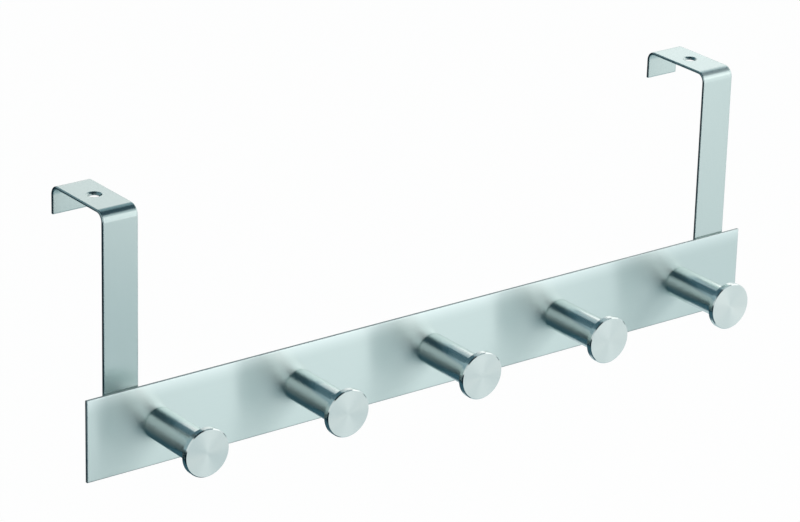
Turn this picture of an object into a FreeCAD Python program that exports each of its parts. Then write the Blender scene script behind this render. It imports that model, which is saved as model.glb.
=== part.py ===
import FreeCAD, Part
import math
import os

# Over door hook rail: a flat plate with a row of turned pegs, carried by two bent straps that hook over
# the top edge of a door. All sizes are in millimetres.
# Frame: +X runs along the rail, +Y points from the room into the door, +Z is up. The origin lies midway
# between the two straps' screw holes, on the plane of the door's top edge.

# Plate, cut from sheet
plate_length = 430.0
plate_height = 45.0
plate_thickness = 1.5
plate_drop = 95.5            # from the door's top edge down to the plate's upper edge

# Straps, bent from flat strip
strap_width = 20.5
strap_thickness = 1.5
strap_end_margin = 11.0      # from the plate's end to the strap's nearer edge
strap_foot_inset = 3.0       # from the plate's lower edge up to the strap's foot
bend_inner_radius = 4.0
door_gap = 45.0              # clear width between a strap's front leg and its lip
lip_reach = 14.5             # how far the lip reaches below the door's top edge

# Screw hole in each strap's flat top, countersunk from above
hole_diameter = 5.5
countersink_diameter = 7.8
countersink_angle = 90.0

# Spot welds that hold each strap's foot to the plate's back
weld_count = 3
weld_print_diameter = 5.0
weld_print_depth = 0.15
weld_end_margin = 8.0        # from the ends of the lapped stretch to the outer welds

# Pegs, each turned from bar
peg_count = 5
peg_end_margin = 43.0        # from the plate's end to the outer peg's axis
peg_projection = 43.5
stem_diameter = 17.5
head_diameter = 26.0
head_thickness = 3.0
head_chamfer = 0.5           # round the head's front
stem_base_chamfer = 0.3

# Countersunk socket screws, one into each peg from behind the plate
screw_diameter = 4.0
screw_length = 12.0
screw_head_diameter = 8.0
screw_head_land = 0.3        # straight rim of the head above its cone
screw_head_angle = 90.0
screw_recess = 0.1           # from the plate's back in to the head
socket_width = 2.5           # across the flats
socket_depth = 1.4
screw_clearance = 0.05       # all round the screw, in the plate and in the peg
tap_run_out = 2.0            # hole drilled on past the screw's point

edge_break = 0.3             # chamfer of the sheared edges and corners

# Places that follow from the sizes
leg_back = -door_gap / 2
leg_front = leg_back - strap_thickness
lip_front = door_gap / 2
lip_back = lip_front + strap_thickness
plate_back = leg_front
plate_front = plate_back - plate_thickness
plate_top = -plate_drop
plate_bottom = plate_top - plate_height
peg_z = (plate_top + plate_bottom) / 2
strap_foot = plate_bottom + strap_foot_inset
strap_x = plate_length / 2 - strap_end_margin - strap_width / 2
peg_pitch = (plate_length - 2 * peg_end_margin) / (peg_count - 1)
peg_places = [-plate_length / 2 + peg_end_margin + i * peg_pitch for i in range(peg_count)]
screw_face = plate_back - screw_recess
screw_point = screw_face - screw_length

# Edges whose faces meet at less than this angle are smooth ones, and are left as they are
smooth_angle = 20.0
full_turn = 360.0


def outline(corners, place):
    """A closed wire through corners (u, v, radius), each rounded by an arc of its radius.

    place(u, v) gives the point in space."""
    ends = []
    for i, (u, v, radius) in enumerate(corners):
        here = FreeCAD.Vector(u, v, 0)
        before = FreeCAD.Vector(*corners[i - 1][:2], 0) - here
        after = FreeCAD.Vector(*corners[(i + 1) % len(corners)][:2], 0) - here
        before.normalize()
        after.normalize()
        if radius == 0:
            ends.append((here, None, here))
            continue
        half = before.getAngle(after) / 2
        setback = radius / math.tan(half)
        inward = (before + after).normalize()
        middle = here + inward * (radius / math.sin(half) - radius)
        ends.append((here + before * setback, middle, here + after * setback))
    edges = []
    for i, (start, middle, end) in enumerate(ends):
        if middle is not None:
            edges.append(Part.Arc(*[place(p.x, p.y) for p in (start, middle, end)]).toShape())
        following = ends[(i + 1) % len(ends)][0]
        if end.distanceToPoint(following) > Part.Precision.confusion():
            edges.append(Part.makeLine(place(end.x, end.y), place(following.x, following.y)))
    return Part.Wire(edges)


def turned(corners, x, z):
    """A solid of revolution about the line along Y through (x, z), from corners (radius, y)."""
    section = [FreeCAD.Vector(x + radius, y, z) for radius, y in corners]
    face = Part.Face(Part.makePolygon(section + section[:1]))
    return face.revolve(FreeCAD.Vector(x, 0, z), FreeCAD.Vector(0, 1, 0), full_turn)


def sharp_edges(solid):
    """The solid's edges where two faces meet at a corner, and not smoothly."""
    found = []
    for edge in solid.Edges:
        faces = solid.ancestorsOfType(edge, Part.Face)
        if len(faces) != 2:
            continue
        middle = edge.valueAt((edge.FirstParameter + edge.LastParameter) / 2)
        normals = [face.normalAt(*face.Surface.parameter(middle)) for face in faces]
        if math.degrees(normals[0].getAngle(normals[1])) > smooth_angle:
            found.append(edge)
    return found


def edges_broken(solid, thickness):
    """The solid with its sheared edges and corners chamfered, by no more than its sheet allows."""
    return solid.makeChamfer(min(edge_break, thickness / 3), sharp_edges(solid))


def hook_plate():
    """The flat plate, with a countersunk hole behind each peg."""
    corner = FreeCAD.Vector(-plate_length / 2, plate_front, plate_bottom)
    blank = Part.makeBox(plate_length, plate_thickness, plate_height, corner)
    plate = edges_broken(blank, plate_thickness)
    for x in peg_places:
        plate = plate.cut(screw_room(x))
    return plate


def door_strap(x):
    """One strap about the plane x: front leg, top and lip, bent from one strip."""
    outer = bend_inner_radius + strap_thickness
    top = strap_thickness
    corners = [
        (leg_front, strap_foot, 0),
        (leg_front, top, outer),
        (lip_back, top, outer),
        (lip_back, -lip_reach, 0),
        (lip_front, -lip_reach, 0),
        (lip_front, 0, bend_inner_radius),
        (leg_back, 0, bend_inner_radius),
        (leg_back, strap_foot, 0),
    ]
    edge = x - strap_width / 2
    face = Part.Face(outline(corners, lambda y, z: FreeCAD.Vector(edge, y, z)))
    strap = edges_broken(face.extrude(FreeCAD.Vector(strap_width, 0, 0)), strap_thickness)
    strap = strap.cut(countersunk_hole(x))
    for z in weld_heights():
        strap = strap.cut(weld_print(x, z))
    return strap


def countersunk_hole(x):
    """The screw hole through a strap's top, at mid-width and mid-depth, with its countersink above."""
    hole = hole_diameter / 2
    sink = countersink_diameter / 2
    depth = (sink - hole) / math.tan(math.radians(countersink_angle / 2))
    over = strap_thickness
    above = sink + over * math.tan(math.radians(countersink_angle / 2))
    through = Part.makeCylinder(hole, 3 * strap_thickness, FreeCAD.Vector(x, 0, -over))
    cone = Part.makeCone(hole, above, depth + over, FreeCAD.Vector(x, 0, strap_thickness - depth))
    return through.fuse(cone)


def weld_heights():
    """Where the spot welds sit, spread over the stretch that the strap and the plate share."""
    low = strap_foot + weld_end_margin
    high = plate_top - weld_end_margin
    return [low + (high - low) * i / (weld_count - 1) for i in range(weld_count)]


def weld_print(x, z):
    """The shallow dish that the welding tip leaves on the strap's rear face."""
    half = weld_print_diameter / 2
    radius = (half ** 2 + weld_print_depth ** 2) / (2 * weld_print_depth)
    return Part.makeSphere(radius, FreeCAD.Vector(x, leg_back + radius - weld_print_depth, z))


def peg(x):
    """One peg: stem and head turned in one piece, with a tapped hole in its base."""
    stem = stem_diameter / 2
    head = head_diameter / 2
    tip = plate_front - peg_projection
    shoulder = tip + head_thickness
    corners = [
        (0, plate_front),
        (stem - stem_base_chamfer, plate_front),
        (stem, plate_front - stem_base_chamfer),
        (stem, shoulder),
        (head, shoulder),
        (head, tip + head_chamfer),
        (head - head_chamfer, tip),
        (0, tip),
    ]
    return turned(corners, x, peg_z).cut(screw_room(x))


def screw_head(grow, face):
    """The half section of a screw's head as corners (radius, y), grown all round and cut off at face."""
    head = screw_head_diameter / 2 + grow
    shank = screw_diameter / 2 + grow
    rim = screw_face - screw_head_land
    neck = rim - (head - shank) / math.tan(math.radians(screw_head_angle / 2))
    return [(0, face), (head, face), (head, rim), (shank, neck)]


def screw_room(x):
    """The hole that a screw needs in plate and peg: its own form with clearance, open at the back."""
    bottom = screw_point - tap_run_out
    bore = screw_diameter / 2 + screw_clearance
    return turned(screw_head(screw_clearance, plate_back) + [(bore, bottom), (0, bottom)], x, peg_z)


def peg_screw(x):
    """One countersunk screw with a hexagon socket in its head."""
    end = [(screw_diameter / 2, screw_point), (0, screw_point)]
    screw = turned(screw_head(0, screw_face) + end, x, peg_z)
    sides = 6
    across = socket_width / math.cos(math.pi / sides) / 2
    turns = [2 * math.pi * i / sides for i in range(sides + 1)]
    rim = [FreeCAD.Vector(x + across * math.cos(a), screw_face, peg_z + across * math.sin(a)) for a in turns]
    socket = Part.Face(Part.makePolygon(rim)).extrude(FreeCAD.Vector(0, -socket_depth, 0))
    return screw.cut(socket)


def write(name, shape):
    """Writes one piece, or one group of equal pieces, to its own file."""
    shape.exportStep("parts/" + name + ".step")


os.makedirs("parts", exist_ok=True)
write("hook_plate", hook_plate())
write("door_strap_left", door_strap(-strap_x))
write("door_strap_right", door_strap(strap_x))
for number, place_x in enumerate(peg_places, start=1):
    write("peg_%d" % number, peg(place_x))
write("peg_screws", Part.makeCompound([peg_screw(place_x) for place_x in peg_places]))
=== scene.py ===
import math

import bpy
import numpy as np
from mathutils import Matrix, Vector


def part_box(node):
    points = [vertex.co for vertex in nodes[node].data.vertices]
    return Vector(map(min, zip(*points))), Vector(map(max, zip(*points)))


# Over door hook rail of brushed stainless steel: a plate with five turned pegs on two bent straps.
# Sizes are in metres in the frame of the CAD model: +X along the rail, +Y into the door, +Z up.

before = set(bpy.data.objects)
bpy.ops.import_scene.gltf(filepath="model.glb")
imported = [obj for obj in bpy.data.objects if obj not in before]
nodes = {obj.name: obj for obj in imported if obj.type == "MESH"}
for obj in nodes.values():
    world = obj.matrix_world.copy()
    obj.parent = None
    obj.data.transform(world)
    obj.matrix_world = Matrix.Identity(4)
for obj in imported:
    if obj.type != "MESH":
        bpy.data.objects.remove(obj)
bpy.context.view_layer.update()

MM = 0.001

# Places read from the frame
pegs = sorted(name for name in nodes if name.startswith("peg_") and name != "peg_screws")
straps = ["door_strap_left", "door_strap_right"]


def middle(node):
    """The centre of a CAD node's box."""
    low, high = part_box(node)
    return (low + high) / 2


peg_pitch = middle(pegs[1]).x - middle(pegs[0]).x
peg_height = middle(pegs[0]).z
plate_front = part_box("hook_plate")[0].y
plate_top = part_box("hook_plate")[1].z


# Colour and node helpers

def linear(hex_colour):
    """An sRGB hex colour as linear red, green, blue and alpha."""
    channels = [int(hex_colour[i:i + 2], 16) / 255 for i in (1, 3, 5)]
    return [c / 12.92 if c <= 0.04045 else ((c + 0.055) / 1.055) ** 2.4 for c in channels] + [1.0]


def add(tree, kind, inputs=None, **settings):
    """Adds a node with its settings. inputs maps a socket to its value, or to the output that feeds it."""
    node = tree.nodes.new(kind)
    for name, value in settings.items():
        setattr(node, name, value)
    for socket, value in (inputs or {}).items():
        if isinstance(value, bpy.types.NodeSocket):
            tree.links.new(value, node.inputs[socket])
        else:
            node.inputs[socket].default_value = value
    return node


def material(name):
    """A new material with an empty node tree and an output node."""
    made = bpy.data.materials.new(name)
    made.use_nodes = True
    made.node_tree.nodes.clear()
    return made, made.node_tree, add(made.node_tree, "ShaderNodeOutputMaterial")


# Brushed stainless steel

SHEET = ("#d1e0de", "#d5e4e1")   # in a line and beside it
BAR = ("#e2ebe8", "#e7efec")
LINE_WIDTH = 0.45 * MM       # real grinding lines are about 0.1 mm apart, drawn coarser so that they show
LINE_LENGTH = 30 * MM
LINE_TURN = 1.5              # radians that a line runs round a turned piece
LINE_DEPTH = 0.001 * MM
LINE_STRENGTH = 0.3
STREAK_DETAIL = 3.0
STREAK_LOW, STREAK_HIGH = 0.3, 0.7   # between them lies most of the streak noise
ROUGHNESS_SWING = 0.07       # of the roughness, from line to line
TOP_HIGHLIGHT = "#f1fdfb"           # painted highlight along the plate's upper border
TOP_HIGHLIGHT_WIDTH = 9 * MM
TOP_HIGHLIGHT_FADE = 1.6            # power with which the painted highlight fades away from the edge
EDGE_ROUND = 0.9 * MM        # how far the edges look rolled over by deburring
EDGE_SAMPLES = 8
EDGE_ROUGHNESS = 0.3
UNDERSIDE_SHADE = 1.5              # how soon the plate's lower edge gets painted shade as it turns down
ASIDE = 0.01                 # keeps a fixed smear from vanishing on a face that looks along it


def ground_steel(name, colours, anisotropy, roughness, spread, grain, cut=None, cut_shade=1.0, painted_highlight=None):
    """Stainless steel with a ground finish.

    The eye gets a cool pale grey that mirrors softly, smeared across the grinding lines and sharp along
    them, with faint streaks, and soft edges that are rougher where they were cut and darkened with painted
    shade. spread(tree, position, normal) gives the direction of the smear, grain(tree, position) the
    position counted in lines, cut(tree, normal) 1 where the surface faces along the sheet (on the plate
    also where it turns down) and 0 where it faces out of it, and painted_highlight(tree, position) 1 where
    the sheet's painted highlight is brightest. An edge keeps cut_shade of the colour, partly for the duller
    finish of the cut and partly as painted shade.
    A bar has no cut edges."""
    made, tree, output = material(name)
    position = add(tree, "ShaderNodeTexCoord").outputs["Object"]
    normal = add(tree, "ShaderNodeNewGeometry").outputs["Normal"]
    streaks = add(
        tree, "ShaderNodeTexNoise", {"Vector": grain(tree, position), "Scale": 1.0, "Detail": STREAK_DETAIL}
    ).outputs["Fac"]
    colour = add(
        tree, "ShaderNodeMix", {"Factor": streaks, 6: linear(colours[0]), 7: linear(colours[1])},
        data_type="RGBA",
    ).outputs[2]
    rough = add(
        tree, "ShaderNodeMapRange",
        {
            "Value": streaks,
            "From Min": STREAK_LOW,
            "From Max": STREAK_HIGH,
            "To Min": roughness * (1 - ROUGHNESS_SWING),
            "To Max": roughness * (1 + ROUGHNESS_SWING),
        },
    ).outputs["Result"]
    # Painted highlight: the colour is lifted towards a near white where the sheet should look brightest
    if painted_highlight:
        colour = add(
            tree, "ShaderNodeMix", {"Factor": painted_highlight(tree, position), 6: colour, 7: linear(TOP_HIGHLIGHT)},
            data_type="RGBA",
        ).outputs[2]
    bump = add(
        tree, "ShaderNodeBump", {"Height": streaks, "Strength": LINE_STRENGTH, "Distance": LINE_DEPTH}
    )
    if cut:
        bevel = add(tree, "ShaderNodeBevel", {"Radius": EDGE_ROUND}, samples=EDGE_SAMPLES)
        rounded = bevel.outputs["Normal"]
        tree.links.new(rounded, bump.inputs["Normal"])
        edge = cut(tree, rounded)
        # The edges' colour falls to cut_shade of the sheet's: partly the duller finish of the cut, partly
        # painted shade
        shade = [channel * cut_shade for channel in linear(colours[0])[:3]] + [1.0]
        colour = add(
            tree, "ShaderNodeMix", {"Factor": edge, 6: colour, 7: shade}, data_type="RGBA"
        ).outputs[2]
        rough = add(tree, "ShaderNodeMix", {"Factor": edge, 2: rough, 3: EDGE_ROUGHNESS}).outputs[0]
    shader = add(
        tree, "ShaderNodeBsdfPrincipled",
        {
            "Base Color": colour,
            "Metallic": 1.0,
            "Roughness": rough,
            "Anisotropic": anisotropy,
            "Tangent": spread(tree, position, normal),
            "Normal": bump.outputs["Normal"],
        },
    )
    tree.links.new(shader.outputs[0], output.inputs["Surface"])
    return made


def scaled(tree, vector, sizes):
    """A position counted in cells of the given sizes."""
    return add(
        tree, "ShaderNodeVectorMath", {0: vector, 1: [1 / size for size in sizes]}, operation="MULTIPLY"
    ).outputs[0]


def straight_spread(direction):
    """The smear of a flat or bent sheet, along one fixed direction."""
    return lambda tree, position, normal: add(
        tree, "ShaderNodeCombineXYZ", dict(enumerate(direction))
    ).outputs[0]


def straight_grain(sizes):
    """The grain of a flat or bent sheet, with the sizes of a line along X, Y and Z."""
    return lambda tree, position: scaled(tree, position, sizes)


def along_axis(axis):
    """How far the surface faces along one axis, from 0 to 1."""
    def amount(tree, normal):
        split = add(tree, "ShaderNodeSeparateXYZ", {0: normal}).outputs
        return add(tree, "ShaderNodeMath", {0: split[axis]}, operation="ABSOLUTE").outputs[0]
    return amount


def plate_edge_and_under_shade(tree, normal):
    """How much the plate's colour is darkened at its edges, from 0 to 1: as the surface turns to its edges,
    and sooner on the lower edge as it turns down, which is painted shade.
    """
    facing = along_axis("Y")(tree, normal)
    turned = add(tree, "ShaderNodeMath", {0: 1.0, 1: facing}, operation="SUBTRACT").outputs[0]
    # Painted shade on the edge that faces down
    height = add(tree, "ShaderNodeSeparateXYZ", {0: normal}).outputs["Z"]
    under = add(
        tree, "ShaderNodeMath", {0: height, 1: -UNDERSIDE_SHADE}, operation="MULTIPLY", use_clamp=True
    ).outputs[0]
    return add(tree, "ShaderNodeMath", {0: turned, 1: under}, operation="MAXIMUM").outputs[0]


def top_highlight_mask(tree, position):
    """How strong the painted highlight near the plate's upper edge is, from 0 to 1."""
    height = add(tree, "ShaderNodeSeparateXYZ", {0: position}).outputs["Z"]
    nearness = add(
        tree, "ShaderNodeMapRange",
        {"Value": height, "From Min": plate_top - TOP_HIGHLIGHT_WIDTH, "From Max": plate_top},
    ).outputs["Result"]
    return add(tree, "ShaderNodeMath", {0: nearness, 1: TOP_HIGHLIGHT_FADE}, operation="POWER").outputs[0]


def from_axis(tree, position):
    """The position seen from the axis of the nearest peg: X and Z from the axis as a vector, and X, Y, Z.

    The pegs sit at whole steps of their pitch from X = 0."""
    split = add(tree, "ShaderNodeSeparateXYZ", {0: position}).outputs
    across = add(
        tree, "ShaderNodeMath", {0: split["X"], 1: peg_pitch / 2, 2: -peg_pitch / 2}, operation="WRAP"
    ).outputs[0]
    up = add(tree, "ShaderNodeMath", {0: split["Z"], 1: peg_height}, operation="SUBTRACT").outputs[0]
    outward = add(tree, "ShaderNodeCombineXYZ", {0: across, 2: up}).outputs[0]
    return outward, across, split["Y"], up


def turned_spread(tree, position, normal):
    """The smear across turning rings: the surface's own direction square to the ring through the point."""
    outward = from_axis(tree, position)[0]
    ring = add(
        tree, "ShaderNodeVectorMath", {0: [0, 1, 0], 1: outward}, operation="CROSS_PRODUCT"
    ).outputs[0]
    return add(tree, "ShaderNodeVectorMath", {0: normal, 1: ring}, operation="CROSS_PRODUCT").outputs[0]


def turned_grain(tree, position):
    """The grain of a turned piece: distance from its axis and place along it, and the turn round it."""
    outward, across, along, up = from_axis(tree, position)
    radius = add(tree, "ShaderNodeVectorMath", {0: outward}, operation="LENGTH").outputs["Value"]
    turn = add(tree, "ShaderNodeMath", {0: up, 1: across}, operation="ARCTAN2").outputs[0]
    cells = add(tree, "ShaderNodeCombineXYZ", {0: radius, 1: along, 2: turn}).outputs[0]
    return scaled(tree, cells, (LINE_WIDTH, LINE_WIDTH, LINE_TURN))


# Sheet ground along its length: what it mirrors is drawn out up and down, and side by side it stays crisp
# The plate's upper border gets a painted highlight, and its edges get painted shade, most on the lower edge
plate_steel = ground_steel(
    "stainless_sheet_ground_lengthwise", SHEET, anisotropy=1.0, roughness=0.30,
    spread=straight_spread((ASIDE, 0, 1)),
    grain=straight_grain((LINE_LENGTH, LINE_LENGTH, LINE_WIDTH)),
    cut=plate_edge_and_under_shade, cut_shade=0.4, painted_highlight=top_highlight_mask,
)
# Strip ground along its length and then bent: what it mirrors is drawn out across it
strap_steel = ground_steel(
    "stainless_strip_ground_lengthwise", SHEET, anisotropy=0.8, roughness=0.25,
    spread=straight_spread((1, ASIDE, ASIDE)),
    grain=straight_grain((LINE_WIDTH, LINE_LENGTH, LINE_LENGTH)),
    # its cut sides are darkened a little: partly their duller finish, partly painted shade
    cut=along_axis("X"), cut_shade=0.8,
)
# Bar turned on a lathe: rings round the axis, a fan of light on the head and bands along the stem
peg_steel = ground_steel(
    "stainless_bar_turned", BAR, anisotropy=0.85, roughness=0.2, spread=turned_spread, grain=turned_grain
)
# Plain screw, as it comes from the maker: duller, with little sign of turning
screw_steel = ground_steel(
    "stainless_screw_plain", BAR, anisotropy=0.3, roughness=0.35, spread=turned_spread, grain=turned_grain
)


def finish_node(node, made):
    """Gives a CAD node its material in every slot."""
    for place in nodes[node].material_slots:
        place.material = made


finish_node("hook_plate", plate_steel)
finish_node("peg_screws", screw_steel)
for name in straps:
    finish_node(name, strap_steel)
for name in pegs:
    finish_node(name, peg_steel)


# Floor, cards and lamp: the cards stand round the middle of the plate's front, and the lamp looks at it

WHITE = [1, 1, 1, 1]
FLOOR_DROP = 0.5             # from the object's lowest point down to the floor
FLOOR_HALF = 12.0
FLOOR_PAINT = "#d9dbdb"
FLOOR_GLOW = 1.15            # with its share, white where no shadow falls
FLOOR_GLOW_SHARE = 0.75
CARD_LIFT = 2 * MM           # of the cards that lie on the floor
SKY_LIGHT = 0.7
SKY_SEEN = 1.0
RED_FALL = 0.4               # powers of a card's tone that red loses and blue gains
BLUE_RISE = 0.12
centre = Vector((middle("hook_plate").x, plate_front, middle("hook_plate").z))


def rectangle(name, x, y, z):
    """A flat rectangle, square to the axis whose range is a single value, the same at both ends."""
    corners = [np.array(side) for side in (x, y, z)]
    flat = [i for i in range(3) if corners[i][0] == corners[i][1]][0]
    first, second = [i for i in range(3) if i != flat]
    points = np.zeros((4, 3))
    points[:, flat] = corners[flat][0]
    points[:, first] = corners[first][[0, 1, 1, 0]]
    points[:, second] = corners[second][[0, 0, 1, 1]]
    mesh = bpy.data.meshes.new(name)
    mesh.from_pydata(points.tolist(), [], [(0, 1, 2, 3)])
    made = bpy.data.objects.new(name, mesh)
    bpy.context.scene.collection.objects.link(made)
    return made


def seen_directly(tree):
    """1 for a ray from the camera, from a reflection or through a clear thing, and 0 for light."""
    path = add(tree, "ShaderNodeLightPath").outputs
    first = add(
        tree, "ShaderNodeMath", {0: path["Is Camera Ray"], 1: path["Is Glossy Ray"]}, operation="MAXIMUM"
    ).outputs[0]
    return add(
        tree, "ShaderNodeMath", {0: first, 1: path["Is Transmission Ray"]}, operation="MAXIMUM"
    ).outputs[0]


def make_floor():
    """A pale floor that looks white, to the camera and in the metal, and keeps the object's shadow."""
    made, tree, output = material("pale_floor_paint")
    matt = add(tree, "ShaderNodeBsdfDiffuse", {"Color": linear(FLOOR_PAINT)})
    glow = add(tree, "ShaderNodeEmission", {"Color": WHITE, "Strength": FLOOR_GLOW})
    share = add(tree, "ShaderNodeMath", {0: seen_directly(tree), 1: FLOOR_GLOW_SHARE}, operation="MULTIPLY")
    mixed = add(tree, "ShaderNodeMixShader", {0: share.outputs[0], 1: matt.outputs[0], 2: glow.outputs[0]})
    tree.links.new(mixed.outputs[0], output.inputs["Surface"])
    reach = (-FLOOR_HALF, FLOOR_HALF)
    floor = rectangle("floor", reach, reach, (floor_height, floor_height))
    floor.data.materials.append(made)


def make_cards():
    """Cards that stand out of the picture and give the metal its light and dark parts.

    The darker a card is, the cooler is its grey."""
    for name, tone, x, y, z in CARDS:
        made, tree, output = material(name + "_card")
        cool = min(tone, 1)
        colour = [tone * cool ** RED_FALL, tone, tone * cool ** -BLUE_RISE, 1]
        paint = add(tree, "ShaderNodeEmission", {"Color": colour, "Strength": 1.0})
        tree.links.new(paint.outputs[0], output.inputs["Surface"])
        card = rectangle(name, x, y, z)
        card.data.materials.append(made)
        card.visible_camera = False
        card.visible_diffuse = False
        card.visible_shadow = False


def make_lamps():
    """Large soft lamps that look at the object."""
    for name, place, width, height, power in LAMPS:
        lamp = bpy.data.lights.new(name, "AREA")
        lamp.shape = "RECTANGLE"
        lamp.size = width
        lamp.size_y = height
        lamp.energy = power
        made = bpy.data.objects.new(name, lamp)
        away = Vector(place) - centre
        made.matrix_world = Matrix.Translation(place) @ away.to_track_quat("Z", "Y").to_matrix().to_4x4()
        made.visible_camera = False
        bpy.context.scene.collection.objects.link(made)


def make_world():
    """White where it is seen, and a soft even grey as a light."""
    world = bpy.data.worlds.new("studio")
    world.use_nodes = True
    tree = world.node_tree
    tree.nodes.clear()
    output = add(tree, "ShaderNodeOutputWorld")
    light = add(tree, "ShaderNodeBackground", {"Color": WHITE, "Strength": SKY_LIGHT})
    seen = add(tree, "ShaderNodeBackground", {"Color": WHITE, "Strength": SKY_SEEN})
    direct = seen_directly(tree)
    mixed = add(tree, "ShaderNodeMixShader", {0: direct, 1: light.outputs[0], 2: seen.outputs[0]})
    tree.links.new(mixed.outputs[0], output.inputs["Surface"])
    bpy.context.scene.world = world


floor_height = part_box("hook_plate")[0].z - FLOOR_DROP
ON_FLOOR = floor_height + CARD_LIFT

# The room that the cards close in
LEFT, RIGHT = centre.x - 0.65, centre.x + 0.95
FRONT, BACK = centre.y - 1.1, centre.y + 1.1
TOP = centre.z + 0.85

# Where one card gives way to the next: along X on the floor and the front, on the back, and overhead
DARK_SIDE, BRIGHT_SIDE = centre.x + 0.1, centre.x + 0.35
BACK_SIDE = centre.x + 0.3
TOP_SIDE = centre.x + 0.2
# Along Y on the floor, on the left, and overhead
FLOOR_NEAR = centre.y - 0.85
LEFT_TURN = centre.y - 0.2
TOP_NEAR, TOP_FAR = centre.y - 0.5, centre.y + 0.2
# Along Z on the left, on the front from its foot to its head, on the back, and on the right
LEFT_RISE = centre.z
FRONT_FOOT, FRONT_BRIGHT, FRONT_HEAD = centre.z - 0.45, centre.z - 0.3, centre.z + 0.4
BACK_RISE = centre.z + 0.5
RIGHT_RISE = centre.z + 0.3

# Tones, as shares of white
BLACK = 0.01
CHARCOAL = 0.1
SLATE = 0.4
GREY = 0.65
PALE = 0.85
WHITISH = 1.05
BRIGHT = 1.3
GLARING = 1.5

# Each card: name, tone, and its ranges along X, Y and Z
CARDS = [
    ("floor_left", CHARCOAL, (LEFT, DARK_SIDE), (FRONT, BACK), (ON_FLOOR, ON_FLOOR)),
    ("floor_near", PALE, (DARK_SIDE, RIGHT), (FRONT, FLOOR_NEAR), (ON_FLOOR, ON_FLOOR)),
    ("floor_under", GREY, (DARK_SIDE, RIGHT), (FLOOR_NEAR, BACK), (ON_FLOOR, ON_FLOOR)),
    ("left_low", BLACK, (LEFT, LEFT), (FRONT, BACK), (floor_height, LEFT_RISE)),
    ("left_high", PALE, (LEFT, LEFT), (FRONT, LEFT_TURN), (LEFT_RISE, TOP)),
    ("left_back", SLATE, (LEFT, LEFT), (LEFT_TURN, BACK), (LEFT_RISE, TOP)),
    ("front_dark", CHARCOAL, (LEFT, DARK_SIDE), (FRONT, FRONT), (floor_height, TOP)),
    ("front_grey", GREY, (DARK_SIDE, BRIGHT_SIDE), (FRONT, FRONT), (floor_height, TOP)),
    ("front_low", GREY, (BRIGHT_SIDE, RIGHT), (FRONT, FRONT), (floor_height, FRONT_FOOT)),
    ("front_middle", WHITISH, (BRIGHT_SIDE, RIGHT), (FRONT, FRONT), (FRONT_FOOT, FRONT_BRIGHT)),
    ("front_bright", GLARING, (BRIGHT_SIDE, RIGHT), (FRONT, FRONT), (FRONT_BRIGHT, FRONT_HEAD)),
    ("front_high", BRIGHT, (BRIGHT_SIDE, RIGHT), (FRONT, FRONT), (FRONT_HEAD, TOP)),
    ("back_left", BLACK, (LEFT, BACK_SIDE), (BACK, BACK), (floor_height, BACK_RISE)),
    ("back_high", SLATE, (LEFT, BACK_SIDE), (BACK, BACK), (BACK_RISE, TOP)),
    ("back_right", WHITISH, (BACK_SIDE, RIGHT), (BACK, BACK), (floor_height, TOP)),
    ("right_low", PALE, (RIGHT, RIGHT), (FRONT, BACK), (floor_height, RIGHT_RISE)),
    ("right_high", BRIGHT, (RIGHT, RIGHT), (FRONT, BACK), (RIGHT_RISE, TOP)),
    ("top_dark", BLACK, (LEFT, TOP_SIDE), (FRONT, TOP_FAR), (TOP, TOP)),
    ("top_edge", GREY, (TOP_SIDE, RIGHT), (FRONT, TOP_NEAR), (TOP, TOP)),
    ("top_right", CHARCOAL, (TOP_SIDE, RIGHT), (TOP_NEAR, TOP_FAR), (TOP, TOP)),
    ("top_far", SLATE, (TOP_SIDE, RIGHT), (TOP_FAR, BACK), (TOP, TOP)),
    ("top_back", CHARCOAL, (LEFT, TOP_SIDE), (TOP_FAR, BACK), (TOP, TOP)),
]
# Each lamp: name, place, width, height and power in watts
LAMPS = [
    ("key_lamp", (1.6, -1.5, 0.7), 1.4, 0.8, 5.0),
]

make_floor()
make_cards()
make_lamps()
make_world()


# Camera, solved from the outlines of the object in the photograph

CAMERA_TARGET = Vector((-22.84, -25.5, -62.88)) * MM
CAMERA_DISTANCE = 1882.40 * MM
CAMERA_AZIMUTH = 37.167      # of the look, from +Y towards +X
CAMERA_FALL = 21.915         # of the look, below level
CAMERA_ROLL = 1.558
CAMERA_SENSOR = 36
CAMERA_LENS = 162.629        # in millimetres, as the sensor's width


def make_camera():
    """The photograph's camera: it looks at the target from its distance, turned by its roll."""
    a, e, r = (math.radians(angle) for angle in (CAMERA_AZIMUTH, CAMERA_FALL, CAMERA_ROLL))
    look = Vector((math.sin(a) * math.cos(e), math.cos(a) * math.cos(e), -math.sin(e)))
    level = look.cross(Vector((0, 0, 1))).normalized()
    upright = level.cross(look)
    right = level * math.cos(r) + upright * math.sin(r)
    up = upright * math.cos(r) - level * math.sin(r)
    data = bpy.data.cameras.new("camera")
    data.sensor_width = CAMERA_SENSOR
    data.lens = CAMERA_LENS
    camera = bpy.data.objects.new("camera", data)
    turn = Matrix((right, up, -look)).transposed().to_4x4()
    camera.matrix_world = Matrix.Translation(CAMERA_TARGET - look * CAMERA_DISTANCE) @ turn
    bpy.context.scene.collection.objects.link(camera)
    bpy.context.scene.camera = camera


make_camera()
bpy.context.scene.view_settings.view_transform = "Standard"
